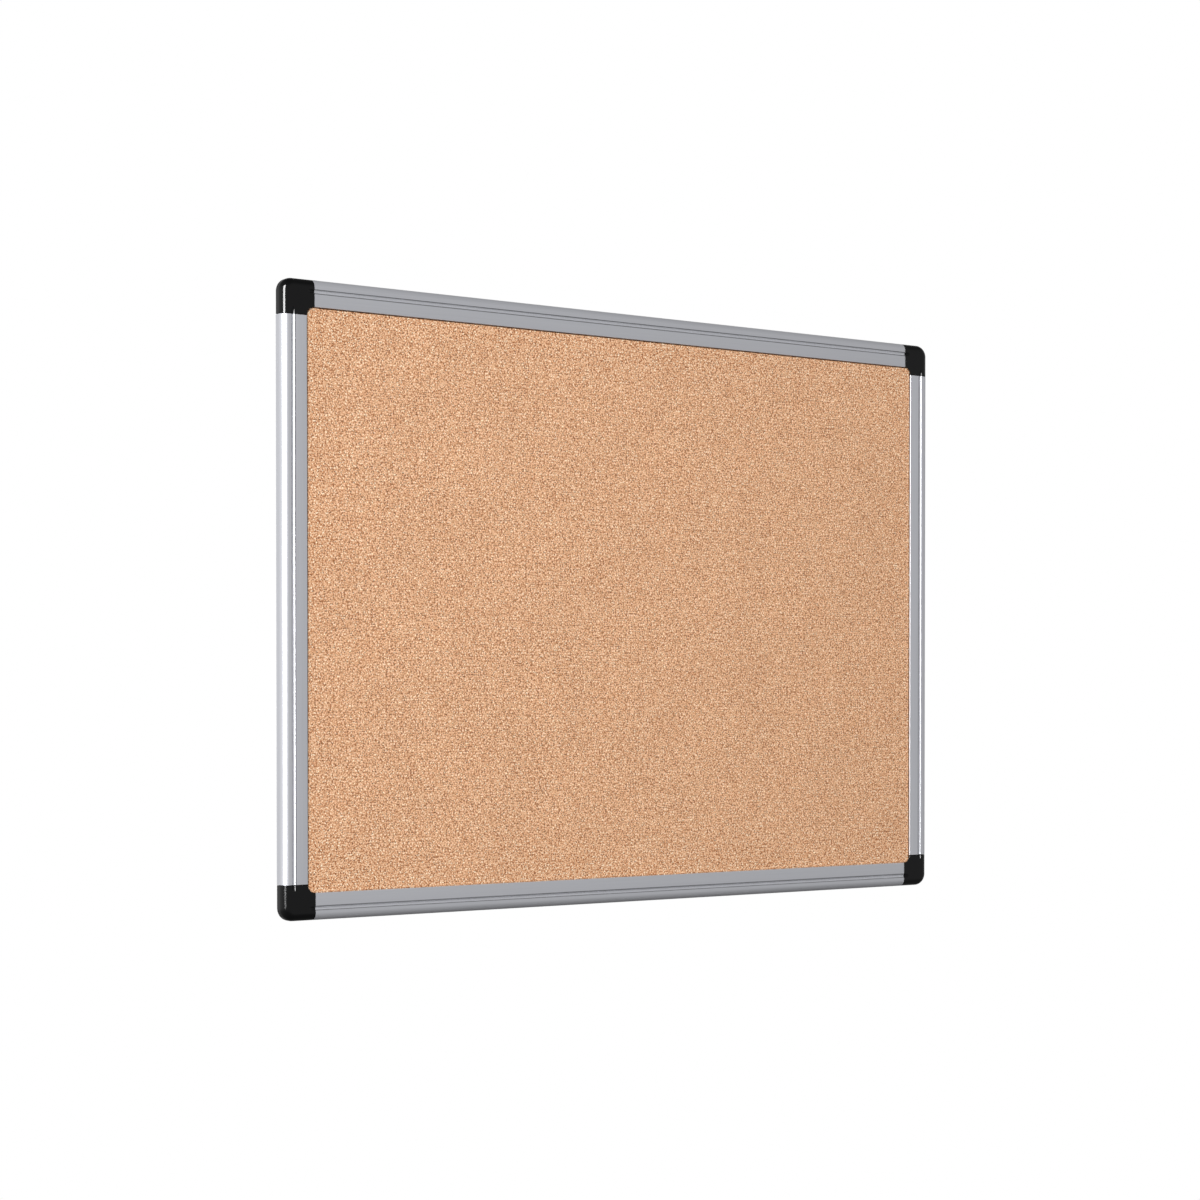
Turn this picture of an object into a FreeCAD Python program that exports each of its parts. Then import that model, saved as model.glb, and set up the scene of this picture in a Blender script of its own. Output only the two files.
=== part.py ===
import FreeCAD, Part
import math
import os

import Sketcher

# A cork bulletin board: a cork-faced panel held on all four sides by aluminium rails.
# Moulded corner brackets join the rails, take the wall screws and carry push-on black caps.
# Millimetres. X runs right, Y into the wall, Z up; Y = 0 is the wall that the back lies against.
# The origin is on the wall, at the middle of the four wall-screw holes.

DIMENSIONS = {
    "board_width": 600,
    "board_height": 450,
    "board_depth": 9.5,
    # the rail's section, measured inward from the board's edge and out from the wall
    "rail_face": 19.5,
    "rail_round": 5.5,
    "rail_wall": 1.0,
    "groove_centre": 8.6,
    "groove_radius": 1.64,
    "groove_rise": 0.85,
    "lip_edge_round": 0.3,
    "web_inset": 11.6,
    "back_flange": 18,
    "rail_start": 25.75,
    # the layers of the panel
    "panel_inset": 13,
    "cork_thick": 2.0,
    "core_thick": 4.8,
    "backing_thick": 0.3,
    # the corner bracket
    "bracket_inset": 1.75,
    "bracket_round": 7.8,
    "bracket_inner": 12.7,
    "bracket_top": 6.9,
    "bracket_bevel": 2.7,
    "tongue_inset": 2.2,
    "tongue_inner": 11.3,
    "tongue_reach": 57,
    "tongue_lift": 1.3,
    "tongue_lead": 1.2,
    "wall_hole_inset": 8.3,
    "wall_hole_radius": 2.5,
    "seat_thick": 3.0,
    "arm_start": 14,
    # the push-on corner cap
    "cap_reach": 25.45,
    "cap_round": 9.5,
    "cap_wall": 1.4,
    "cap_front": 1.6,
    "cap_lift": 0.2,
    "cap_inner_round": 3.9,
    "cap_edge_round": 0.3,
    "cap_over_cork": 1.1,
    "runout_radius": 14,
    "peg_inset": 7.2,
    "peg_reach": 19,
    "peg_radius": 1.6,
    "peg_tip": 2.5,
    "peg_slot": 0.8,
    "peg_slot_top": 6.4,
    "peg_gap": 0.3,
    # the screws that hold the rails to the brackets
    "screw_inset": 6.75,
    "screw_reach": 38,
    "screw_radius": 1.4,
    "screw_head_radius": 2.7,
    "screw_length": 6.4,
    "screw_point": 1.2,
    "screw_sink": 0.1,
    "screw_gap": 0.1,
    "recess_width": 0.7,
    "recess_span": 2.8,
    "recess_depth": 0.8,
}

# Corners as seen from the front: the sign of X, the sign of Z, and the turn about Y in degrees
# that brings a bottom left corner piece there.
CORNERS = {
    "bottom_left": (-1, -1, 0),
    "bottom_right": (1, -1, -90),
    "top_right": (1, 1, 180),
    "top_left": (-1, 1, 90),
}

TINY = 0.01  # how near a point has to be to count as on an edge or plane
LEAST_CUT = 0.001  # the smallest volume that a cut has to remove, in cubic millimetres

doc = FreeCAD.newDocument("CorkBoard")
sheet = doc.addObject("Spreadsheet::Sheet", "Sizes")


class Size:
    """A length with its value now and the sheet expression that it follows."""

    def __init__(self, value, text):
        self.value = value
        self.text = text

    def join(self, other, sign, combine):
        other = other if isinstance(other, Size) else Size(other, str(other))
        return Size(combine(self.value, other.value), f"({self.text} {sign} {other.text})")

    def __add__(self, other):
        return self.join(other, "+", lambda a, b: a + b)

    def __sub__(self, other):
        return self.join(other, "-", lambda a, b: a - b)

    def __mul__(self, other):
        return self.join(other, "*", lambda a, b: a * b)

    def __truediv__(self, other):
        return self.join(other, "/", lambda a, b: a / b)

    def __neg__(self):
        return Size(-self.value, f"(-{self.text})")


def chord_half(radius, height):
    """Half the chord that a line cuts from a circle when it passes this high beside the centre."""
    value = math.sqrt(radius.value**2 - height.value**2)
    return Size(value, f"sqrt({radius.text}^2 - {height.text}^2)")


def fill_sheet():
    sizes = {}
    for row, (alias, value) in enumerate(DIMENSIONS.items(), start=1):
        sheet.set(f"A{row}", alias)
        sheet.set(f"B{row}", str(value))
        sheet.setAlias(f"B{row}", alias)
        sizes[alias] = Size(value, f"Sizes.{alias}")
    doc.recompute()
    return sizes


S = fill_sheet()


def bind(thing, path, size):
    """Ties a property to the sheet, or sets it where the size is a plain number."""
    if isinstance(size, Size):
        thing.setExpression(path, size.text)


def new_body(name, x=0, z=0, turn=0):
    """A body whose own origin stands at x, z on the wall, turned about Y by turn degrees."""
    body = doc.addObject("PartDesign::Body", name)
    body.Label = name
    across, up = [part.value if isinstance(part, Size) else part for part in (x, z)]
    spin = FreeCAD.Rotation(FreeCAD.Vector(0, 1, 0), turn)
    body.Placement = FreeCAD.Placement(FreeCAD.Vector(across, 0, up), spin)
    bind(body, "Placement.Base.x", x)
    bind(body, "Placement.Base.z", z)
    return body


def new_sketch(body, name, plane, offset=(0, 0, 0)):
    """A sketch on one of the body's origin planes, moved by offset in the sketch's own axes."""
    sketch = body.newObject("Sketcher::SketchObject", f"{body.Name}_{name}")
    role = [item for item in body.Origin.OriginFeatures if item.Role == plane][0]
    sketch.AttachmentSupport = (role, [""])
    sketch.MapMode = "FlatFace"
    for axis, size in zip("xyz", offset):
        bind(sketch, f"AttachmentOffset.Base.{axis}", size)
    return sketch


def pin(sketch, item, point, x, y):
    """Holds a point of the sketch at x, y; a plain 0 puts it on the axis."""
    for kind, size, axis in (("DistanceX", x, -2), ("DistanceY", y, -1)):
        if isinstance(size, Size):
            rule = Sketcher.Constraint(kind, -1, 1, item, point, size.value)
            index = sketch.addConstraint(rule)
            bind(sketch, f"Constraints[{index}]", size)
        else:
            sketch.addConstraint(Sketcher.Constraint("PointOnObject", item, point, axis))


def fix_radius(sketch, item, radius):
    index = sketch.addConstraint(Sketcher.Constraint("Radius", item, radius.value))
    bind(sketch, f"Constraints[{index}]", radius)


def arc_between(start, end, radius, leftward):
    """The short arc from start to end with its centre to the left, or the right, of the way."""
    chord = end - start
    side = FreeCAD.Vector(-chord.y, chord.x, 0).normalize()
    offset = math.sqrt(max(radius**2 - (chord.Length / 2) ** 2, 0))
    centre = (start + end) / 2 + side * (offset if leftward else -offset)
    angles = [math.atan2(p.y - centre.y, p.x - centre.x) for p in (start, end)]
    if not leftward:
        angles.reverse()
    circle = Part.Circle(centre, FreeCAD.Vector(0, 0, 1), radius)
    return Part.ArcOfCircle(circle, angles[0], angles[1])


def outline(sketch, corners):
    """Draws a closed outline. A corner is (x, y), or (x, y, radius, side) to leave it on an arc."""
    places = []
    for corner in corners:
        xy = [part.value if isinstance(part, Size) else part for part in corner[:2]]
        places.append(FreeCAD.Vector(*xy, 0))
    ends = []
    for index, corner in enumerate(corners):
        start, end = places[index], places[(index + 1) % len(places)]
        if len(corner) == 2:
            item = sketch.addGeometry(Part.LineSegment(start, end), False)
            ends.append((item, 1, 2))
            continue
        leftward = corner[3] == "left"
        item = sketch.addGeometry(arc_between(start, end, corner[2].value, leftward), False)
        ends.append((item, 1, 2) if leftward else (item, 2, 1))
    for index, corner in enumerate(corners):
        item, first, last = ends[index]
        following = ends[(index + 1) % len(ends)]
        rule = Sketcher.Constraint("Coincident", item, last, following[0], following[1])
        sketch.addConstraint(rule)
    for (item, first, last), corner in zip(ends, corners):
        pin(sketch, item, first, corner[0], corner[1])
        if len(corner) > 2:
            fix_radius(sketch, item, corner[2])


def rectangle(sketch, left, bottom, right, top):
    outline(sketch, [(left, bottom), (right, bottom), (right, top), (left, top)])


def circle(sketch, x, y, radius):
    centre = FreeCAD.Vector(x.value if isinstance(x, Size) else x, y.value, 0)
    item = sketch.addGeometry(Part.Circle(centre, FreeCAD.Vector(0, 0, 1), radius.value), False)
    pin(sketch, item, 3, x, y)
    fix_radius(sketch, item, radius)


def extrude(kind, sketch, length, flip=False):
    """A Pad or Pocket of the sketch; flip turns it to the plane's other side."""
    body = sketch.getParentGeoFeatureGroup()
    feature = body.newObject(f"PartDesign::{kind}", f"{sketch.Name}_{kind.lower()}")
    feature.Profile = sketch
    feature.Length = length.value
    bind(feature, "Length", length)
    feature.Reversed = flip
    sketch.Visibility = False
    return feature


def must_cut(feature, name):
    """A cut that misses the solid leaves its volume as it was, and raises no error."""
    doc.recompute()
    before, after = feature.BaseFeature.Shape.Volume, feature.Shape.Volume
    if before - after < LEAST_CUT:
        raise RuntimeError(f"{name} removed nothing")


def outside_edges(shape, inset, corner, height):
    """The long edges of a corner piece that run round its outer corner, this high off the wall.

    The two straight ones lie inset from the board's edges, and the arc between ends at corner.
    """
    names = []
    for index, edge in enumerate(shape.Edges, start=1):
        first, last = edge.ParameterRange
        middle = edge.valueAt((first + last) / 2)
        near, far = sorted((middle.x, middle.z))
        straight = abs(near - inset) < TINY
        arc = inset + TINY < near and far < corner - TINY
        level = abs(middle.y + height) < TINY
        if level and (straight or arc) and edge.Length > corner:
            names.append(f"Edge{index}")
    return names


def dress(kind, base, names, size, quantity):
    """A Fillet or Chamfer of the named edges of base."""
    body = base.getParentGeoFeatureGroup()
    feature = body.newObject(f"PartDesign::{kind}", f"{base.Name}_{kind.lower()}")
    feature.Base = (base, names)
    setattr(feature, quantity, size.value)
    bind(feature, quantity, size)
    doc.recompute()
    return feature


# --- the panel: cork on a softboard core with a backing sheet ---


def make_layer(name, back, thick):
    """One full-size layer of the panel, whose back face stands this far out from the wall."""
    body = new_body(name)
    sketch = new_sketch(body, "outline", "XZ_Plane", (0, 0, back))
    half_x = S["board_width"] / 2 - S["panel_inset"]
    half_z = S["board_height"] / 2 - S["panel_inset"]
    rectangle(sketch, -half_x, -half_z, half_x, half_z)
    extrude("Pad", sketch, thick)
    return body


def make_panel():
    core_back = S["rail_wall"] + S["backing_thick"]
    return [
        make_layer("backing_sheet", S["rail_wall"], S["backing_thick"]),
        make_layer("core_board", core_back, S["core_thick"]),
        make_layer("cork_sheet", core_back + S["core_thick"], S["cork_thick"]),
    ]


# --- the rails: one extrusion, cut square at both ends ---


def draw_rail_section(sketch):
    """X runs inward from the board's edge and -Y out from the wall."""
    front, wall = S["board_depth"], S["rail_wall"]
    bend, face, edge = S["rail_round"], S["rail_face"], S["lip_edge_round"]
    groove, radius, rise = S["groove_centre"], S["groove_radius"], S["groove_rise"]
    half_groove = chord_half(radius, rise)
    web = S["web_inset"] + wall
    outline(sketch, [
        (0, 0),
        (S["back_flange"], 0),
        (S["back_flange"], -wall),
        (web, -wall),
        (web, wall - front),
        (face, wall - front),
        (face, edge - front, edge, "right"),
        (face - edge, -front),
        (groove + half_groove, -front, radius, "left"),
        (groove - half_groove, -front),
        (bend, -front, bend, "right"),
        (0, bend - front),
    ])
    ceiling, inner_bend = wall - front, bend - wall
    bulge = radius + wall
    half_bulge = chord_half(bulge, wall + rise)
    outline(sketch, [
        (wall, -wall),
        (wall, bend - front, inner_bend, "left"),
        (bend, ceiling),
        (groove - half_bulge, ceiling, bulge, "right"),
        (groove + half_bulge, ceiling),
        (S["web_inset"], ceiling),
        (S["web_inset"], -wall),
    ])


def make_rail(name, length, x, z, turn):
    body = new_body(name, x, z, turn)
    section = new_sketch(body, "section", "XY_Plane")
    draw_rail_section(section)
    extrude("Pad", section, length)
    holes = new_sketch(body, "screw_holes", "XZ_Plane")
    from_end = S["screw_reach"] - S["rail_start"]
    radius = S["screw_radius"] + S["screw_gap"]
    for along in (from_end, length - from_end):
        circle(holes, S["screw_inset"], along, radius)
    doc.recompute()
    hole = body.newObject("PartDesign::Hole", f"{name}_holes")
    hole.Profile = holes
    hole.Reversed = True
    hole.DepthType = "Dimension"
    hole.DrillPoint = "Flat"
    hole.HoleCutType = "Countersink"
    hole.HoleCutCustomValues = True
    hole.HoleCutCountersinkAngle = 90
    bind(hole, "Diameter", radius * 2)
    bind(hole, "Depth", S["screw_head_radius"])
    bind(hole, "HoleCutDiameter", (S["screw_head_radius"] + S["screw_gap"]) * 2)
    must_cut(hole, name)
    return body


def make_rails():
    start = S["rail_start"]
    half_x, half_z = S["board_width"] / 2, S["board_height"] / 2
    across, upright = S["board_width"] - start * 2, S["board_height"] - start * 2
    return [
        make_rail("rail_left", upright, -half_x, start - half_z, 0),
        make_rail("rail_right", upright, half_x, half_z - start, 180),
        make_rail("rail_bottom", across, half_x - start, -half_z, -90),
        make_rail("rail_top", across, start - half_x, half_z, 90),
    ]


# --- the corner pieces, each drawn as the bottom left one with its outer corner at 0, 0 ---


def rounded_angle_shape(near, far, reach, radius):
    """An L of two equal arms, from near to far across and out to reach, with a round corner."""
    return [
        (near, near + radius, radius, "left"),
        (near + radius, near),
        (reach, near),
        (reach, far),
        (far, far),
        (far, reach),
        (near, reach),
    ]


def make_bracket(name, x, z, turn):
    """A flat seat for the wall screw between two arms that end in tongues for the rails."""
    body = new_body(name, x, z, turn)
    inset, inner, reach = S["bracket_inset"], S["bracket_inner"], S["rail_start"]
    top = S["bracket_top"]
    seat = new_sketch(body, "seat", "XZ_Plane")
    outline(seat, rounded_angle_shape(inset, inner, reach, S["bracket_round"]))
    extrude("Pad", seat, S["seat_thick"])
    arms = new_sketch(body, "arms", "XZ_Plane")
    rectangle(arms, S["arm_start"], inset, reach, inner)
    rectangle(arms, inset, S["arm_start"], inner, reach)
    pad = extrude("Pad", arms, top)
    doc.recompute()
    corner = inset + S["bracket_round"]
    edges = outside_edges(pad.Shape, inset.value, corner.value, top.value)
    dress("Chamfer", pad, edges, S["bracket_bevel"], "Size")
    tongues = new_sketch(body, "tongues", "XZ_Plane", (0, 0, S["tongue_lift"]))
    near, far, tip = S["tongue_inset"], S["tongue_inner"], S["tongue_reach"]
    lead = S["tongue_lead"]
    level = [
        (reach, near),
        (tip - lead, near),
        (tip, near + lead),
        (tip, far - lead),
        (tip - lead, far),
        (reach, far),
    ]
    outline(tongues, level)
    outline(tongues, [(z, x) for x, z in level])
    extrude("Pad", tongues, top - S["tongue_lift"])
    wall_hole = new_sketch(body, "wall_hole", "XZ_Plane")
    circle(wall_hole, S["wall_hole_inset"], S["wall_hole_inset"], S["wall_hole_radius"])
    must_cut(extrude("Pocket", wall_hole, top, flip=True), name)
    sockets = new_sketch(body, "peg_sockets", "XZ_Plane")
    drilled = new_sketch(body, "screw_pilots", "XZ_Plane")
    pilot = S["screw_radius"] + S["screw_gap"]
    for a, b in ((0, 1), (1, 0)):
        peg = (S["peg_inset"], S["peg_reach"])
        screw = (S["screw_inset"], S["screw_reach"])
        circle(sockets, peg[a], peg[b], S["peg_radius"] + S["peg_gap"])
        circle(drilled, screw[a], screw[b], pilot)
    must_cut(extrude("Pocket", sockets, top, flip=True), name)
    must_cut(extrude("Pocket", drilled, S["screw_length"] + S["screw_gap"], flip=True), name)
    return body


def run_out(body, plane, axis, centre, across):
    """Carries the rail's groove a little way into the end of a leg, rising out of the face."""
    depth = S["board_depth"] + S["groove_rise"]
    pivot = depth + S["runout_radius"]
    if plane == "XY_Plane":
        sketch = new_sketch(body, "runout_upright", plane, (0, -pivot, centre))
        circle(sketch, across, S["runout_radius"], S["groove_radius"])
    else:
        sketch = new_sketch(body, "runout_level", plane, (-pivot, 0, centre))
        circle(sketch, S["runout_radius"], across, S["groove_radius"])
    cut = body.newObject("PartDesign::Groove", f"{sketch.Name}_groove")
    cut.Profile = sketch
    cut.ReferenceAxis = (sketch, [axis])
    cut.Angle = 360
    must_cut(cut, body.Name)
    return cut


def rim_edges(shape, reach, depth):
    """The front edges of a cap's leg ends and of the curve between them."""
    names = []
    for index, edge in enumerate(shape.Edges, start=1):
        points = [vertex.Point for vertex in edge.Vertexes]
        ends = all(abs(max(p.x, p.z) - reach) < TINY for p in points)
        front = any(abs(p.y + depth) < TINY for p in points)
        if ends and front:
            names.append(f"Edge{index}")
    return names


def make_cap(name, x, z, turn):
    body = new_body(name, x, z, turn)
    reach, face, depth = S["cap_reach"], S["rail_face"], S["board_depth"]
    corner, wall, lift = S["cap_round"], S["cap_wall"], S["cap_lift"]
    plate = new_sketch(body, "plate", "XZ_Plane", (0, 0, lift))
    outline(plate, [
        (0, corner, corner, "left"),
        (corner, 0),
        (reach, 0),
        (reach, face, reach - face, "right"),
        (face, reach),
        (0, reach),
    ])
    extrude("Pad", plate, depth - lift)
    hollow = new_sketch(body, "hollow", "XZ_Plane", (0, 0, lift))
    beyond = reach + wall
    outline(hollow, [
        (wall, corner, corner - wall, "left"),
        (corner, wall),
        (beyond, wall),
        (beyond, beyond),
        (wall, beyond),
    ])
    ceiling = depth - S["cap_front"]
    pocket = extrude("Pocket", hollow, ceiling - lift, flip=True)
    must_cut(pocket, name)
    edges = outside_edges(pocket.Shape, wall.value, corner.value, ceiling.value)
    inner = dress("Fillet", pocket, edges, S["cap_inner_round"], "Radius")
    edges = outside_edges(inner.Shape, 0, corner.value, depth.value)
    outer = dress("Fillet", inner, edges, S["rail_round"], "Radius")
    edges = rim_edges(outer.Shape, reach.value, depth.value)
    dress("Fillet", outer, edges, S["cap_edge_round"], "Radius")
    over_cork = new_sketch(body, "over_cork", "XZ_Plane", (0, 0, lift))
    rectangle(over_cork, S["bracket_inner"], S["bracket_inner"], beyond, beyond)
    must_cut(extrude("Pocket", over_cork, depth - S["cap_over_cork"] - lift, flip=True), name)
    pegs = new_sketch(body, "pegs", "XZ_Plane", (0, 0, S["peg_tip"]))
    slots = new_sketch(body, "peg_slots", "XZ_Plane", (0, 0, S["peg_tip"]))
    half_slot, half_peg = S["peg_slot"] / 2, S["peg_radius"] + S["peg_gap"]
    near, far = S["peg_inset"], S["peg_reach"]
    circle(pegs, near, far, S["peg_radius"])
    circle(pegs, far, near, S["peg_radius"])
    extrude("Pad", pegs, depth - S["cap_front"] / 2 - S["peg_tip"])
    rectangle(slots, near - half_slot, far - half_peg, near + half_slot, far + half_peg)
    rectangle(slots, far - half_peg, near - half_slot, far + half_peg, near + half_slot)
    must_cut(extrude("Pocket", slots, S["peg_slot_top"] - S["peg_tip"], flip=True), name)
    run_out(body, "XY_Plane", "H_Axis", reach, S["groove_centre"])
    run_out(body, "YZ_Plane", "V_Axis", reach, S["groove_centre"])
    return body


def make_screw(name, x, z):
    """A countersunk self-tapping screw, driven from the back with its axis along Y."""
    body = new_body(name, x, z)
    section = new_sketch(body, "section", "XY_Plane")
    shank, head, sink = S["screw_radius"], S["screw_head_radius"], S["screw_sink"]
    end = S["screw_length"]
    outline(section, [
        (0, -sink),
        (0, -end),
        (shank, S["screw_point"] - end),
        (shank, shank - head - sink),
        (head, -sink),
    ])
    turned = body.newObject("PartDesign::Revolution", f"{name}_turned")
    turned.Profile = section
    turned.ReferenceAxis = (section, ["V_Axis"])
    turned.Angle = 360
    recess = new_sketch(body, "recess", "XZ_Plane")
    arm, half = S["recess_span"] / 2, S["recess_width"] / 2
    outline(recess, [
        (-arm, -half), (-half, -half), (-half, -arm), (half, -arm), (half, -half), (arm, -half),
        (arm, half), (half, half), (half, arm), (-half, arm), (-half, half), (-arm, half),
    ])
    must_cut(extrude("Pocket", recess, S["recess_depth"] + sink, flip=True), name)
    return body


def make_corners():
    bodies = []
    for corner, (side, level, turn) in CORNERS.items():
        x, z = S["board_width"] / 2 * side, S["board_height"] / 2 * level
        bodies.append(make_bracket(f"bracket_{corner}", x, z, turn))
        bodies.append(make_cap(f"cap_{corner}", x, z, turn))
        near, far = S["screw_inset"], S["screw_reach"]
        for leg, across, up in (("upright", near, far), ("level", far, near)):
            name = f"screw_{corner}_{leg}"
            bodies.append(make_screw(name, x - across * side, z - up * level))
    return bodies


def check(bodies):
    for item in doc.Objects:
        if "Invalid" in item.State or "Error" in item.State:
            raise RuntimeError(f"{item.Name} failed: {item.State}")
    for body in bodies:
        if body.Shape.isNull() or not body.Shape.isValid():
            raise RuntimeError(f"{body.Label} has no valid shape")
        if len(body.Shape.Solids) != 1:
            raise RuntimeError(f"{body.Label} is {len(body.Shape.Solids)} solids")


bodies = make_panel() + make_rails() + make_corners()
doc.recompute()
check(bodies)
os.makedirs("parts", exist_ok=True)
for body in bodies:
    body.Shape.exportStep(os.path.join("parts", f"{body.Label}.step"))
    print(f"{body.Label}: {body.Shape.Volume:.0f} mm3")
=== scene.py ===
import math

import bmesh
import bpy
from mathutils import Matrix, Vector, noise


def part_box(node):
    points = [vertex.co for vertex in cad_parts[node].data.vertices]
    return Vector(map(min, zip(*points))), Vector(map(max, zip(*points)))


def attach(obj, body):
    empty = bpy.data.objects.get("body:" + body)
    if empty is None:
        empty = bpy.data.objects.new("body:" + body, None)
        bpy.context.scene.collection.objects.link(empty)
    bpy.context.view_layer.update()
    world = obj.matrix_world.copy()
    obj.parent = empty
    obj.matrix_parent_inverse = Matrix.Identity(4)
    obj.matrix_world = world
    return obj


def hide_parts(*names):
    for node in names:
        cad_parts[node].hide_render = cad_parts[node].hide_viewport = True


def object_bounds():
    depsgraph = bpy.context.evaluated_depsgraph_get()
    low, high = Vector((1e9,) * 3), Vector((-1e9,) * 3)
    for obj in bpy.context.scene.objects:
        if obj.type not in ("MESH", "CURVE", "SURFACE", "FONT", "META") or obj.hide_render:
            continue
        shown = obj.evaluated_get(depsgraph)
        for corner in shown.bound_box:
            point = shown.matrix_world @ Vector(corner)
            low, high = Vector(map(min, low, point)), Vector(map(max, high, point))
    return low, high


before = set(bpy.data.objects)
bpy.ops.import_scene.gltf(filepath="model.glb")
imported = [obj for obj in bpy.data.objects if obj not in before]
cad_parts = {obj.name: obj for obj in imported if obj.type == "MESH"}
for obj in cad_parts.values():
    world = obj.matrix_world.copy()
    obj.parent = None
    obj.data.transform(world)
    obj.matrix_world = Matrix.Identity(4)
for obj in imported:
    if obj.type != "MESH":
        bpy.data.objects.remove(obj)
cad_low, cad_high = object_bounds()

# A wall-hung cork board in metres: X to the right, Y into the wall, Z up, cork facing -Y.
# The rails and the cork sheet are rebuilt here with finer shape; the other pieces are the CAD's
# own, with materials of their own. Materials count in millimetres.

MM = 0.001
CORNERS = ("bottom_left", "bottom_right", "top_right", "top_left")

# The rail's section: u runs inward from the board's edge, w out from the wall.
RAIL_ROUND = 5.5 * MM
RAIL_WALL = 1.0 * MM
GROOVE_CENTRE = 8.6 * MM
GROOVE_RADIUS = 1.64 * MM
GROOVE_RISE = 0.85 * MM
LIP_EDGE = 0.3 * MM
WEB_INSET = 11.6 * MM
FLANGE = 18 * MM

# The screw holes in a rail's back: distance from its edge and its ends, and the radii.
SCREW_INSET = 6.75 * MM
SCREW_FROM_END = 12.25 * MM
SCREW_HEAD = 2.8 * MM
SCREW_SHANK = 1.5 * MM
HOLE_SIDES = 32

# The cork's face: the mesh's step, how deep it is uneven and how wide the unevenness is.
CORK_STEP = 1.75 * MM
CORK_RELIEF = 0.09 * MM
CORK_WAVE = 3.2 * MM

# The dark flecks of bark and the cream ones in the cork: how far apart, the largest one's radius
# as a share of that, how strongly they cover the granules, and their colour.
CORK_FLECKS = (
    (1.7, 0.30, 0.80, (0.09, 0.028, 0.009)),
    (2.3, 0.24, 0.80, (1.00, 0.860, 0.650)),
)

# The rails' darkest and brightest tint, and the two lines of painted shade that follow the groove's edges,
# where its walls fall into shadow, as the photograph shows them: their places in millimetres from the
# groove's middle, and a factor on the distance from the inner line, which under 1 makes it wider than the
# outer one.
ALLOY_DARK, ALLOY_LIGHT = (0.79, 0.80, 0.85), (0.84, 0.85, 0.90)
OUTER_SHADE_LINE, INNER_SHADE_LINE, INNER_SHADE_SPREAD = -1.27, 1.55, 0.65

# Edges that turn by more than SHARP stay sharp; faces within FLAT of each other are one face.
SHARP = math.radians(28)
FLAT = math.radians(0.5)

CAMERA_PLACE = (-1.07275, -1.52762, -0.06729)
CAMERA_TURN, CAMERA_TIP = 0.60093, -0.015
CAMERA_SENSOR, CAMERA_LENS, CAMERA_SHIFT = 36, 72.75, 0.1106

scene = bpy.context.scene


# --- shapes ---


def arc(centre, radius, start, end, steps):
    """Points from the start to the end angle, in degrees, on an arc in the section's plane."""
    points = []
    for i in range(steps + 1):
        angle = math.radians(start + (end - start) * i / steps)
        points.append((centre[0] + radius * math.cos(angle), centre[1] + radius * math.sin(angle)))
    return points


def rail_section(depth, face):
    """The extrusion's outer outline and the outline of its closed chamber."""
    bend = RAIL_ROUND
    groove = (GROOVE_CENTRE, depth + GROOVE_RISE)
    lean = math.degrees(math.asin(GROOVE_RISE / GROOVE_RADIUS))
    web = WEB_INSET + RAIL_WALL
    edge = (face - LIP_EDGE, depth - LIP_EDGE)
    outer = [(0, 0), *arc((bend, depth - bend), bend, 180, 90, steps=24)]
    outer += arc(groove, GROOVE_RADIUS, 180 + lean, 360 - lean, steps=22)
    outer += arc(edge, LIP_EDGE, 90, 0, steps=5)
    outer += [(face, depth - RAIL_WALL), (web, depth - RAIL_WALL), (web, RAIL_WALL)]
    outer += [(FLANGE, RAIL_WALL), (FLANGE, 0)]
    bulge = GROOVE_RADIUS + RAIL_WALL
    lean = math.degrees(math.asin((RAIL_WALL + GROOVE_RISE) / bulge))
    chamber = [(RAIL_WALL, RAIL_WALL), *arc((bend, depth - bend), bend - RAIL_WALL, 180, 90, steps=12)]
    chamber += arc(groove, bulge, 180 + lean, 360 - lean, steps=12)
    chamber += [(WEB_INSET, depth - RAIL_WALL), (WEB_INSET, RAIL_WALL)]
    return outer, chamber


def write_mesh(bm, mesh):
    """Closes a bmesh into a mesh, smooth except at edges that turn by more than SHARP."""
    bmesh.ops.recalc_face_normals(bm, faces=bm.faces)
    for face in bm.faces:
        face.smooth = True
    for edge in bm.edges:
        edge.smooth = len(edge.link_faces) == 2 and edge.calc_face_angle(0) < SHARP
    bm.to_mesh(mesh)
    bm.free()


def new_object(name, bm):
    """Makes an object of a bmesh and puts it in the scene."""
    mesh = bpy.data.meshes.new(name)
    write_mesh(bm, mesh)
    piece = bpy.data.objects.new(name, mesh)
    scene.collection.objects.link(piece)
    return piece


def extrude_rail(name, length, depth, face):
    """A rail along its own Z, with X inward from the board's edge and -Y out from the wall."""
    bm = bmesh.new()
    ends = ([], [])
    for outline in rail_section(depth, face):
        rings = [[bm.verts.new((u, -w, z)) for u, w in outline] for z in (0, length)]
        count = len(outline)
        for i in range(count):
            j = (i + 1) % count
            bm.faces.new((rings[0][i], rings[0][j], rings[1][j], rings[1][i]))
        for end, ring in zip(ends, rings):
            end.extend(bm.edges.get((ring[i], ring[(i + 1) % count])) for i in range(count))
    for end in ends:
        bmesh.ops.triangle_fill(bm, edges=end, use_beauty=True)
    return new_object(name, bm)


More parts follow.
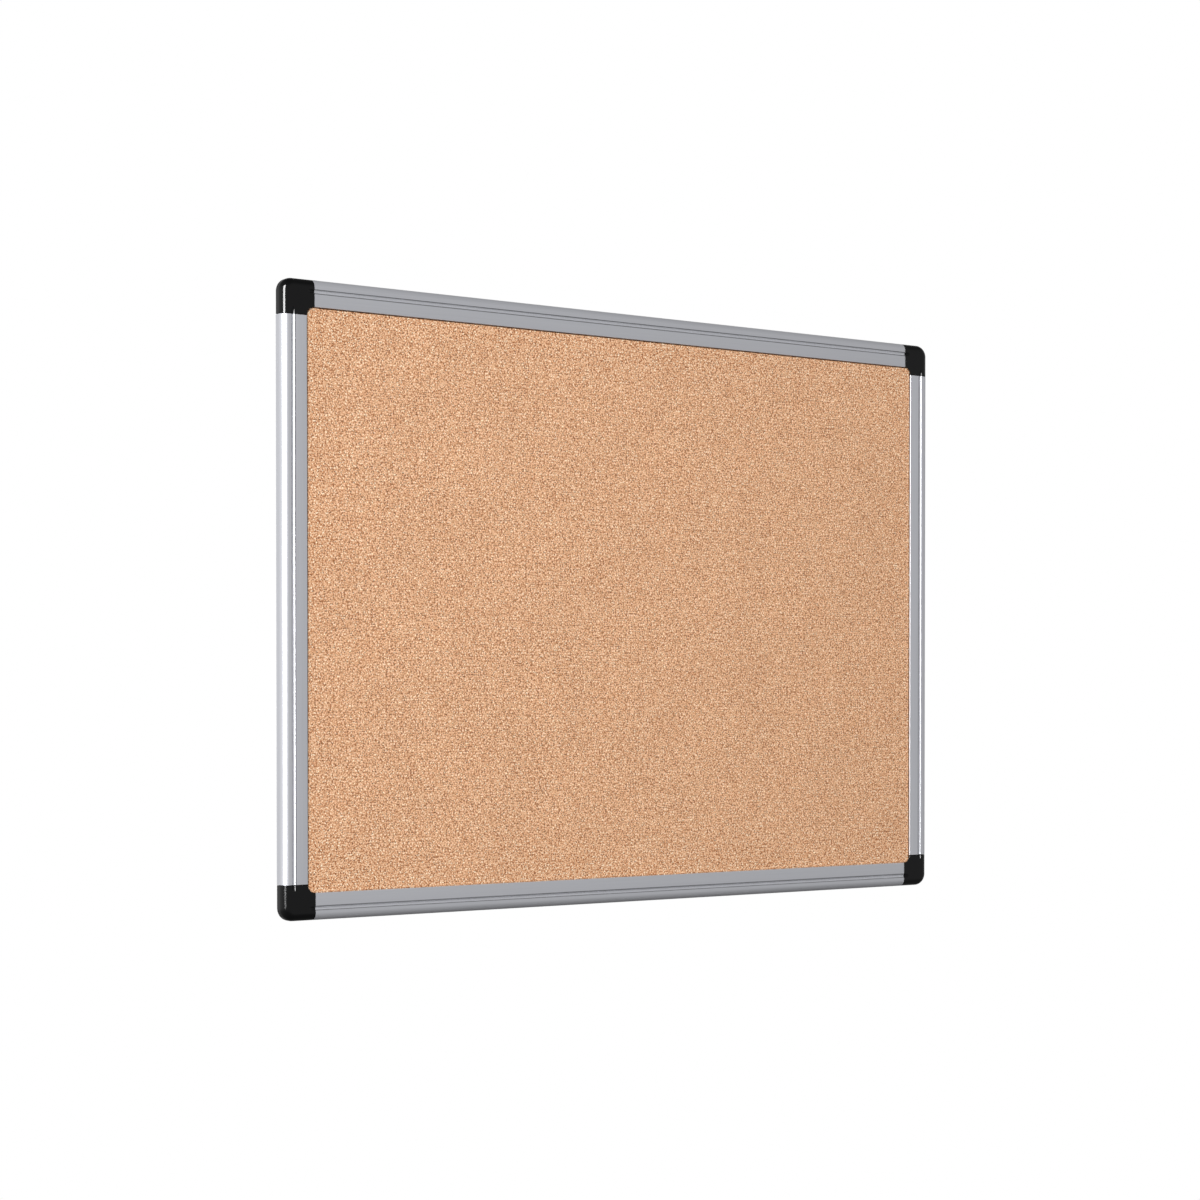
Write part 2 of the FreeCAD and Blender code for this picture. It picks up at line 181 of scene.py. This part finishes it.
def countersink(z):
    """The cutter for one screw hole in the rail's back wall."""
    bm = bmesh.new()
    over = 0.2 * MM
    taper_end = SCREW_SHANK - SCREW_HEAD
    inside = -3 * RAIL_WALL
    profile = [(SCREW_HEAD + over, over), (SCREW_SHANK, taper_end), (SCREW_SHANK, inside)]
    rings = []
    for radius, y in profile:
        ring = []
        for i in range(HOLE_SIDES):
            turn = 2 * math.pi * i / HOLE_SIDES
            x, dz = SCREW_INSET + radius * math.cos(turn), radius * math.sin(turn)
            ring.append(bm.verts.new((x, y, z + dz)))
        rings.append(ring)
    for low, high in zip(rings, rings[1:]):
        for i in range(HOLE_SIDES):
            j = (i + 1) % HOLE_SIDES
            bm.faces.new((low[i], low[j], high[j], high[i]))
    bm.faces.new(rings[0])
    bm.faces.new(rings[-1])
    return new_object("cutter", bm)


def cut(piece, cutters):
    """Takes the cutters out of the piece for good, and joins up its flat faces as far as they go."""
    for cutter in cutters:
        modifier = piece.modifiers.new("cut", "BOOLEAN")
        modifier.operation = "DIFFERENCE"
        modifier.solver = "EXACT"
        modifier.object = cutter
    bpy.context.view_layer.update()
    graph = bpy.context.evaluated_depsgraph_get()
    mesh = bpy.data.meshes.new_from_object(piece.evaluated_get(graph))
    piece.modifiers.clear()
    piece.data = mesh
    for cutter in cutters:
        bpy.data.objects.remove(cutter)
    bm = bmesh.new()
    bm.from_mesh(mesh)
    bmesh.ops.dissolve_limit(bm, angle_limit=FLAT, verts=bm.verts, edges=bm.edges)
    bmesh.ops.triangulate(bm, faces=[face for face in bm.faces if len(face.verts) > 4])
    write_mesh(bm, mesh)


def make_rail(node, material):
    """Builds the rail that stands in for one CAD rail, in the same place."""
    low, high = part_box(node)
    upright = node in ("rail_left", "rail_right")
    length = (high.z - low.z) if upright else (high.x - low.x)
    face = (high.x - low.x) if upright else (high.z - low.z)
    piece = extrude_rail(f"{node}_extrusion", length, high.y - low.y, face)
    cut(piece, [countersink(SCREW_FROM_END), countersink(length - SCREW_FROM_END)])
    turn, corner = {
        "rail_left": (0, (low.x, high.y, low.z)),
        "rail_right": (180, (high.x, high.y, high.z)),
        "rail_bottom": (-90, (high.x, high.y, low.z)),
        "rail_top": (90, (low.x, high.y, high.z)),
    }[node]
    piece.matrix_world = Matrix.Translation(corner) @ Matrix.Rotation(math.radians(turn), 4, "Y")
    piece.data.materials.clear()
    piece.data.materials.append(material)
    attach(piece, "frame")
    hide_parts(node)


def make_cork(material):
    """The cork sheet, its face lightly uneven as pressed granules are."""
    low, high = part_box("cork_sheet")
    columns = round((high.x - low.x) / CORK_STEP)
    rows = round((high.z - low.z) / CORK_STEP)
    bm = bmesh.new()
    grid = []
    for k in range(rows + 1):
        z = low.z + (high.z - low.z) * k / rows
        line = []
        for i in range(columns + 1):
            x = low.x + (high.x - low.x) * i / columns
            rough = noise.noise(Vector((x, z, 0)) / CORK_WAVE) * 0.5 + 0.5
            edge = i in (0, columns) or k in (0, rows)
            line.append(bm.verts.new((x, low.y + (0 if edge else CORK_RELIEF * rough), z)))
        grid.append(line)
    for k in range(rows):
        for i in range(columns):
            bm.faces.new((grid[k][i], grid[k][i + 1], grid[k + 1][i + 1], grid[k + 1][i]))
    rim = [e for e in bm.edges if e.is_boundary]
    back = bmesh.ops.extrude_edge_only(bm, edges=rim)["geom"]
    for vert in (v for v in back if isinstance(v, bmesh.types.BMVert)):
        vert.co.y = high.y
    bmesh.ops.contextual_create(bm, geom=[e for e in bm.edges if e.is_boundary])
    piece = new_object("cork_face", bm)
    piece.data.materials.append(material)
    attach(piece, "frame")
    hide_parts("cork_sheet")


# --- materials ---


def set_stops(ramp, stops):
    """Gives a colour ramp its stops, each a position with a colour or a grey level."""
    elements = ramp.color_ramp.elements
    while len(elements) < len(stops):
        elements.new(0.5)
    for element, (position, colour) in zip(elements, stops):
        element.position = position
        grey = not isinstance(colour, tuple)
        element.color = (colour, colour, colour, 1) if grey else (*colour, 1)


class Material:
    """A node material under construction, with short ways to add and join nodes."""

    def __init__(self, name):
        self.material = bpy.data.materials.new(name)
        self.material.use_nodes = True
        self.tree = self.material.node_tree
        self.shader = self.tree.nodes["Principled BSDF"]
        place = self.add("ShaderNodeTexCoord")
        size = self.add("ShaderNodeVectorMath", operation="SCALE")
        self.join(place.outputs["Object"], size.inputs[0])
        size.inputs["Scale"].default_value = 1 / MM
        self.place = size.outputs[0]  # object coordinates in millimetres

    def add(self, kind, **settings):
        node = self.tree.nodes.new(kind)
        for key, value in settings.items():
            setattr(node, key, value)
        return node

    def join(self, source, target):
        self.tree.links.new(source, target)

    def feed(self, socket, value):
        """Joins a socket to a socket, or sets it to a plain value."""
        if isinstance(value, bpy.types.NodeSocket):
            self.join(value, socket)
        else:
            socket.default_value = value

    def stretch(self, x, y, z):
        """Object coordinates scaled by axis, which draws a texture out where the factor is small."""
        node = self.add("ShaderNodeVectorMath", operation="MULTIPLY")
        self.join(self.place, node.inputs[0])
        node.inputs[1].default_value = (x, y, z)
        return node.outputs[0]

    def noise(self, size, detail=3, rough=0.5, place=None):
        """Soft noise whose features are about size millimetres across."""
        node = self.add("ShaderNodeTexNoise")
        self.join(place or self.place, node.inputs["Vector"])
        node.inputs["Scale"].default_value = 1 / size
        node.inputs["Detail"].default_value = detail
        node.inputs["Roughness"].default_value = rough
        return node

    def cells(self, size, place):
        """Flat cells about size millimetres across, over the first two coordinates of place."""
        node = self.add("ShaderNodeTexVoronoi", voronoi_dimensions="2D")
        self.join(place, node.inputs["Vector"])
        node.inputs["Scale"].default_value = 1 / size
        return node

    def ramp(self, value, stops):
        node = self.add("ShaderNodeValToRGB")
        self.join(value, node.inputs[0])
        set_stops(node, stops)
        return node.outputs["Color"]

    def math(self, operation, a, b):
        node = self.add("ShaderNodeMath", operation=operation)
        self.feed(node.inputs[0], a)
        self.feed(node.inputs[1], b)
        return node.outputs[0]

    def mix(self, amount, a, b, blend="MIX"):
        node = self.add("ShaderNodeMix", data_type="RGBA", blend_type=blend)
        self.feed(node.inputs["Factor"], amount)
        for socket, value in ((node.inputs[6], a), (node.inputs[7], b)):
            self.feed(socket, (*value, 1) if isinstance(value, tuple) else value)
        return node.outputs[2]

    def channel(self, colour, which=0):
        """One channel of a colour: red, green or blue."""
        node = self.add("ShaderNodeSeparateColor")
        self.join(colour, node.inputs[0])
        return node.outputs[which]

    def shift(self, amount, source):
        """Object coordinates pushed about by a colour, so that cells lose their straight sides."""
        push = self.add("ShaderNodeVectorMath", operation="MULTIPLY_ADD")
        self.join(source, push.inputs[0])
        push.inputs[1].default_value = (amount,) * 3
        self.join(self.place, push.inputs[2])
        return push.outputs[0]

    def bump(self, height, depth, after=None):
        """Surface relief of about depth millimetres where height goes from 0 to 1."""
        node = self.add("ShaderNodeBump")
        node.inputs["Strength"].default_value = 1
        node.inputs["Distance"].default_value = depth * MM
        self.join(height, node.inputs["Height"])
        if after:
            self.join(after, node.inputs["Normal"])
        self.join(node.outputs[0], self.shader.inputs["Normal"])
        return node.outputs[0]

    def set(self, **sockets):
        """Feeds the shader's sockets, each named with underscores for its spaces."""
        for name, value in sockets.items():
            self.feed(self.shader.inputs[name.replace("_", " ")], value)


def cork_tone(m, place):
    """Granules a little over a millimetre across, each with a pale middle and a dark rim.

    Gives the colour, with smaller crumbs mixed in, and the height for the relief.
    """
    granule, small, small_share = 1.25, 0.5, 0.15
    palest, rim_depth, rim_reach, variety = 0.92, 0.72, 1.25, 0.22
    tones = [
        (0.00, (0.065, 0.015, 0.004)),
        (0.20, (0.270, 0.095, 0.031)),
        (0.50, (0.520, 0.242, 0.115)),
        (0.75, (0.760, 0.428, 0.240)),
        (1.00, (0.900, 0.684, 0.477)),
    ]
    grain = m.cells(granule, place)
    crumb = m.cells(small, place)
    rim = m.math("MINIMUM", m.math("MULTIPLY", grain.outputs["Distance"], rim_reach), 1.0)
    middle = m.math("SUBTRACT", palest, m.math("MULTIPLY", rim, rim_depth))
    shade = m.math("ADD", m.math("MULTIPLY", m.channel(grain.outputs["Color"]), variety), middle)
    fine = m.ramp(m.channel(crumb.outputs["Color"]), tones)
    height = m.mix(0.5, grain.outputs["Distance"], crumb.outputs["Distance"])
    return m.mix(small_share, m.ramp(shade, tones), fine), height


def cork_lip_shade(m):
    """The painted shade where the sheet goes under the rails' lips, a dark line of shadow: near 1 along
    them, 0 elsewhere.

    It is twice off_centre wider along the left lip than along the right one, and fainter at the
    foot. Both are set to follow the photograph; the sheet itself lies evenly in the frame.
    """
    off_centre, ragged_depth, foot_height, foot_fade = 0.2, 0.5, 3, 0.6
    half_width = -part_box("rail_left")[1].x / MM
    half_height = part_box("rail_top")[0].z / MM
    at = m.add("ShaderNodeSeparateXYZ")
    m.join(m.place, at.inputs[0])
    across = m.math("ABSOLUTE", m.math("SUBTRACT", at.outputs[0], off_centre), 0)
    aside = m.math("SUBTRACT", half_width, across)
    above = m.math("SUBTRACT", half_height, m.math("ABSOLUTE", at.outputs[2], 0))
    ragged = m.math("MULTIPLY", m.noise(0.9, 2).outputs[0], ragged_depth)
    inside = m.math("ADD", m.math("MINIMUM", aside, above), ragged)
    # Painted shade along the lips: strongest next to them, fading out within about a millimetre.
    lip_shadow = m.ramp(inside, [(0.85, 0.88), (1.0, 0.0)])
    foot = m.math("LESS_THAN", at.outputs[2], foot_height - half_height)
    return m.math("MULTIPLY", lip_shadow, m.math("SUBTRACT", 1.0, m.math("MULTIPLY", foot, foot_fade)))


def cork_material():
    """Pressed cork: tan, with cream granules, dark flecks of bark and slight patches."""
    m = Material("cork")
    shifted = m.add("ShaderNodeSeparateXYZ")
    m.join(m.shift(0.5, m.noise(0.6, 2).outputs["Color"]), shifted.inputs[0])
    facing = m.add("ShaderNodeCombineXYZ")
    m.join(shifted.outputs[0], facing.inputs[0])
    m.join(shifted.outputs[2], facing.inputs[1])
    place = facing.outputs[0]
    base, height = cork_tone(m, place)
    for spacing, size, strength, colour in CORK_FLECKS:
        spots = m.cells(spacing, place)
        radius = m.math("MULTIPLY", m.channel(spots.outputs["Color"], 1), size)
        fleck = m.math("LESS_THAN", spots.outputs["Distance"], radius)
        base = m.mix(m.math("MULTIPLY", fleck, strength), base, colour)
    # Painted shade: the cork's colour goes to a near-black brown along the rails' lips, where the lips
    # shadow it.
    base = m.mix(cork_lip_shade(m), base, (0.05, 0.022, 0.012))
    patch = m.ramp(m.noise(45, 3).outputs[0], [(0.25, 0.97), (0.75, 1.03)])
    m.set(Base_Color=m.mix(1.0, base, patch, "MULTIPLY"), Roughness=0.86, Specular_IOR_Level=0.2)
    m.bump(m.noise(0.5, 4, 0.7).outputs[0], 0.10, after=m.bump(height, 0.30))
    return m.material


def aluminium_material():
    """Satin anodised extrusion, brushed along the rail's own Z, its groove edged in lines of painted shade.
    """
    m = Material("anodised_aluminium")
    lines = m.noise(0.35, 4, 0.6, m.stretch(1, 1, 0.004)).outputs[0]
    bloom = m.noise(30, 3, 0.5, m.stretch(1, 1, 0.15)).outputs[0]
    tint = m.ramp(lines, [(0.3, ALLOY_DARK), (0.7, ALLOY_LIGHT)])
    fine = m.ramp(lines, [(0.3, 0.30), (0.7, 0.37)])
    broad = m.ramp(bloom, [(0.3, 0.31), (0.7, 0.36)])
    section = m.add("ShaderNodeSeparateXYZ")
    m.join(m.place, section.inputs[0])
    # Painted shade: two dark lines along the groove's edges, where its walls fall into shadow, multiply the
    # tint on the front only.
    off = m.math("SUBTRACT", section.outputs[0], GROOVE_CENTRE / MM)
    outer = m.math("ABSOLUTE", m.math("SUBTRACT", off, OUTER_SHADE_LINE), 0)
    inner = m.math("ABSOLUTE", m.math("SUBTRACT", off, INNER_SHADE_LINE), 0)
    inner = m.math("MULTIPLY", inner, INNER_SHADE_SPREAD)
    line_reach = -RAIL_ROUND / MM  # the lines stay on the front, further out than this
    back = m.math("GREATER_THAN", section.outputs[1], line_reach)
    from_line = m.math("ADD", m.math("MINIMUM", outer, inner), back)
    groove_shade = m.ramp(from_line, [(0.10, 0.30), (0.34, 1.0)])
    tint = m.mix(1.0, tint, groove_shade, "MULTIPLY")
    around = m.add("ShaderNodeTangent", direction_type="RADIAL", axis="Z")
    m.set(Base_Color=tint, Metallic=0.7, Roughness=m.mix(0.5, fine, broad), Anisotropic=0.3)
    m.set(Tangent=around.outputs[0])
    m.bump(lines, 0.004)
    return m.material


def plastic_material(name, colour, rough, grain):
    """Moulded plastic with a fine spark-eroded grain and slight flow marks."""
    m = Material(name)
    fine = m.noise(grain, 3, 0.6).outputs[0]
    flow = m.noise(9, 2).outputs[0]
    lighter = tuple(c * 1.25 for c in colour)
    m.set(Base_Color=m.mix(flow, colour, lighter), Specular_IOR_Level=0.7)
    m.set(Roughness=m.ramp(fine, [(0.3, rough - 0.03), (0.7, rough + 0.05)]))
    m.bump(fine, 0.01)
    return m.material


def fibre_material(name, light, dark, size, depth):
    """Pressed fibre or lining paper: short crossing strands over a mottled ground."""
    m = Material(name)
    across = m.noise(size, 4, 0.65, m.stretch(0.25, 1, 1)).outputs[0]
    along = m.noise(size, 4, 0.65, m.stretch(1, 1, 0.25)).outputs[0]
    strands = m.mix(0.5, across, along)
    mottle = m.noise(size * 14, 3).outputs[0]
    m.set(Base_Color=m.ramp(m.mix(0.35, strands, mottle), [(0.38, dark), (0.62, light)]), Roughness=0.9)
    m.set(Specular_IOR_Level=0.2)
    m.bump(strands, depth)
    return m.material


def zinc_material():
    """Zinc plate, slightly clouded."""
    m = Material("zinc_plate")
    bloom = m.noise(1.2, 3).outputs[0]
    m.set(Base_Color=m.ramp(bloom, [(0.3, (0.66, 0.67, 0.68)), (0.7, (0.82, 0.83, 0.84))]))
    m.set(Metallic=1.0, Roughness=m.ramp(bloom, [(0.3, 0.28), (0.7, 0.42)]))
    m.bump(m.noise(0.3, 3).outputs[0], 0.008)
    return m.material


def dress(node, material):
    """Gives a CAD node its material."""
    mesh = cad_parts[node].data
    mesh.materials.clear()
    mesh.materials.append(material)


# --- studio ---


def area_light(name, azimuth, elevation, distance, wide, tall, radiance):
    """A soft panel aimed at the board; azimuth 0 is in front of it and 90 on its -X side."""
    a, e = math.radians(azimuth), math.radians(elevation)
    place = Vector((-math.sin(a) * math.cos(e), -math.cos(a) * math.cos(e), math.sin(e))) * distance
    data = bpy.data.lights.new(name, "AREA")
    data.shape = "RECTANGLE"
    data.size, data.size_y, data.energy = wide, tall, radiance * math.pi * wide * tall
    lamp = bpy.data.objects.new(name, data)
    lamp.location = place
    lamp.rotation_mode = "QUATERNION"
    lamp.rotation_quaternion = place.to_track_quat("Z", "Y")
    lamp.visible_camera = False
    scene.collection.objects.link(lamp)
    return lamp


def make_world():
    """White to the camera; to the surfaces, a tent that is dim in front, overhead and below."""
    world = bpy.data.worlds.new("studio")
    scene.world = world
    world.use_nodes = True
    nodes, links = world.node_tree.nodes, world.node_tree.links
    way = nodes.new("ShaderNodeTexCoord")
    split = nodes.new("ShaderNodeSeparateXYZ")
    links.new(way.outputs["Generated"], split.inputs[0])
    depth = [(0.0, 0.18), (0.15, 0.20), (0.4, 0.32), (0.6, 0.42), (0.95, 0.47)]
    upward = [(0.0, 0.12), (0.3, 0.40), (0.45, 0.9), (0.55, 1.0), (0.7, 0.7), (0.85, 0.25), (1.0, 0.12)]
    level = nodes.new("ShaderNodeMath")
    level.operation = "MULTIPLY"
    for socket, axis, stops in ((0, "Y", depth), (1, "Z", upward)):
        place = nodes.new("ShaderNodeMapRange")
        place.inputs["From Min"].default_value = -1
        links.new(split.outputs[axis], place.inputs[0])
        ramp = nodes.new("ShaderNodeValToRGB")
        links.new(place.outputs[0], ramp.inputs[0])
        set_stops(ramp, stops)
        links.new(ramp.outputs[0], level.inputs[socket])
    tent = nodes["Background"]
    links.new(level.outputs[0], tent.inputs[0])
    white = nodes.new("ShaderNodeBackground")
    white.inputs[0].default_value = (1, 1, 1, 1)
    seen = nodes.new("ShaderNodeLightPath")
    either = nodes.new("ShaderNodeMixShader")
    links.new(seen.outputs["Is Camera Ray"], either.inputs[0])
    links.new(tent.outputs[0], either.inputs[1])
    links.new(white.outputs[0], either.inputs[2])
    links.new(either.outputs[0], nodes["World Output"].inputs[0])


def make_floor():
    """A pale floor well below the board, fading out at its rim."""
    drop, reach = 1.3, 2.6
    fade_from, fade_to = 0.45 * reach, 0.98 * reach
    bm = bmesh.new()
    bmesh.ops.create_circle(bm, cap_ends=True, segments=96, radius=reach)
    floor = new_object("floor", bm)
    floor.location.z = cad_low.z - drop
    m = Material("floor")
    m.set(Base_Color=(0.80, 0.80, 0.79, 1), Roughness=0.9)
    length = m.add("ShaderNodeVectorMath", operation="LENGTH")
    m.join(m.place, length.inputs[0])
    fade = m.add("ShaderNodeMapRange", interpolation_type="SMOOTHSTEP")
    m.join(length.outputs["Value"], fade.inputs[0])
    fade.inputs["From Min"].default_value = fade_from / MM
    fade.inputs["From Max"].default_value = fade_to / MM
    clear = m.add("ShaderNodeBsdfTransparent")
    either = m.add("ShaderNodeMixShader")
    m.join(fade.outputs[0], either.inputs[0])
    m.join(m.shader.outputs[0], either.inputs[1])
    m.join(clear.outputs[0], either.inputs[2])
    m.join(either.outputs[0], m.tree.nodes["Material Output"].inputs[0])
    floor.data.materials.append(m.material)
    floor.visible_glossy = False
    floor.visible_diffuse = False


def make_camera():
    """The photograph's view: from the left of the board, a little below its middle."""
    turn, tip = CAMERA_TURN, CAMERA_TIP
    data = bpy.data.cameras.new("camera")
    data.sensor_width, data.lens, data.shift_y = CAMERA_SENSOR, CAMERA_LENS, CAMERA_SHIFT
    data.clip_start, data.clip_end = 0.05, 50
    camera = bpy.data.objects.new("camera", data)
    camera.location = CAMERA_PLACE
    ahead = Vector((math.sin(turn) * math.cos(tip), math.cos(turn) * math.cos(tip), math.sin(tip)))
    camera.rotation_mode = "QUATERNION"
    camera.rotation_quaternion = ahead.to_track_quat("-Z", "Y")
    scene.collection.objects.link(camera)
    scene.camera = camera


def main():
    aluminium = aluminium_material()
    black = plastic_material("black_plastic", (0.002, 0.002, 0.0022), rough=0.12, grain=0.35)
    grey = plastic_material("grey_plastic", (0.09, 0.09, 0.095), rough=0.5, grain=0.5)
    zinc = zinc_material()
    for node in ("rail_left", "rail_right", "rail_bottom", "rail_top"):
        make_rail(node, aluminium)
    make_cork(cork_material())
    softboard = fibre_material("softboard", (0.46, 0.33, 0.20), (0.27, 0.18, 0.10), size=1.2, depth=0.12)
    paper = fibre_material("lining_paper", (0.56, 0.55, 0.52), (0.44, 0.43, 0.40), size=0.8, depth=0.03)
    dress("core_board", softboard)
    dress("backing_sheet", paper)
    for corner in CORNERS:
        dress(f"cap_{corner}", black)
        dress(f"bracket_{corner}", grey)
        for leg in ("upright", "level"):
            dress(f"screw_{corner}_{leg}", zinc)
    make_world()
    make_floor()
    area_light("key", azimuth=47, elevation=18, distance=7, wide=2.85, tall=5.75, radiance=16.2)
    middle = area_light("middle", azimuth=10, elevation=5, distance=0.55, wide=0.3, tall=0.3, radiance=0.45)
    wall_side = area_light("wall_side", azimuth=180, elevation=0, distance=6, wide=3, tall=3, radiance=6.5)
    for lamp in (middle, wall_side):
        lamp.visible_glossy = False
    make_camera()
    scene.view_settings.view_transform = "Standard"


main()
